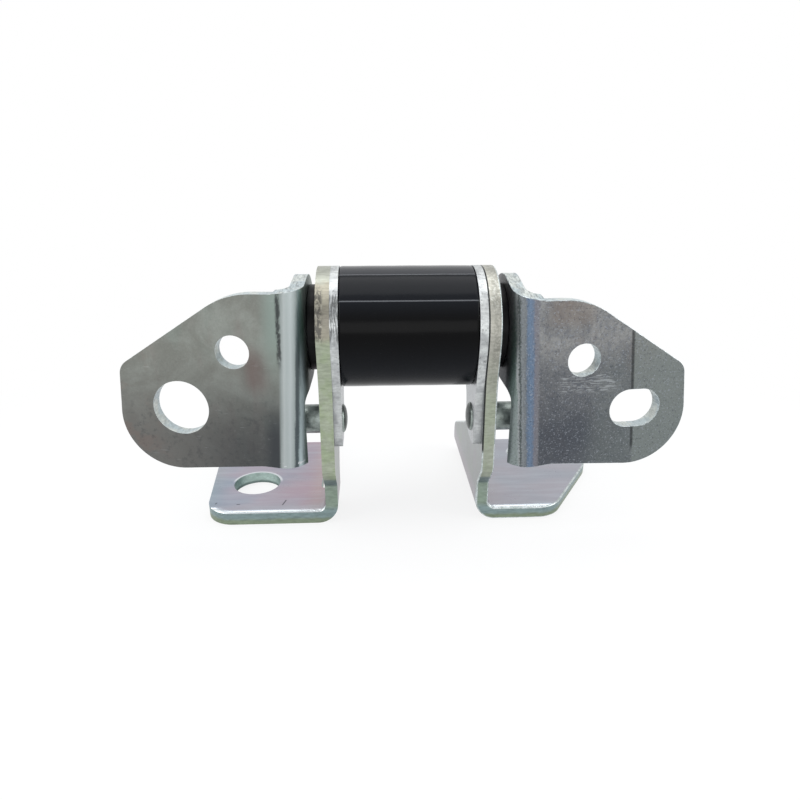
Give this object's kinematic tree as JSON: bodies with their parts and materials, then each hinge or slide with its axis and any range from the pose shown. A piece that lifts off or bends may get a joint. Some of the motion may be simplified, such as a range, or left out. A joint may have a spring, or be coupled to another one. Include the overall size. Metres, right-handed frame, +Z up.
{
  "type": "car door hinge",
  "caption": "Car door hinge: two L brackets with a black cross barrel between link plates and two folded wings on its pin.",
  "frame": {"origin": "on the surface under the feet, below the middle of the whole hinge's bounding box", "axes": "+X along the hinge pin to the right, -Y towards the side that the wings face, +Z up from the feet"},
  "size_m": [0.168, 0.0636, 0.0809],
  "materials": {
    "bracket_zinc": "zinc plated, yellow-green and lilac tint",
    "bright_zinc": "bright zinc plated",
    "wing_zinc": "zinc plated, mottled",
    "black_moulding": "black, glossy",
    "black_washer": "black, matt",
    "dark_steel": "dark, part polished",
    "plain_steel": "plain",
    "bush_bronze": "plain bearing"
  },
  "bodies": {
    "body_side": {"barrel_cover": "black_moulding", "barrel_tube": "plain_steel", "bracket_left": "bracket_zinc", "link_plate_left": "bright_zinc", "stop_pin_left": "dark_steel", "pin_bush_left": "bush_bronze", "bracket_right": "bracket_zinc", "link_plate_right": "bright_zinc", "stop_pin_right": "dark_steel", "pin_bush_right": "bush_bronze"},
    "door_side": {"hinge_pin": "dark_steel", "wing_left": "wing_zinc", "washer_left": "black_washer", "wing_right": "wing_zinc", "washer_right": "black_washer"}
  },
  "joints": [
    {"name": "door_swing", "type": "hinge", "parent": "body_side", "child": "door_side", "pos_m": [0, -0.0116, 0.0625], "axis": [-1, 0, 0], "range_deg": [-8, 90]}
  ]
}
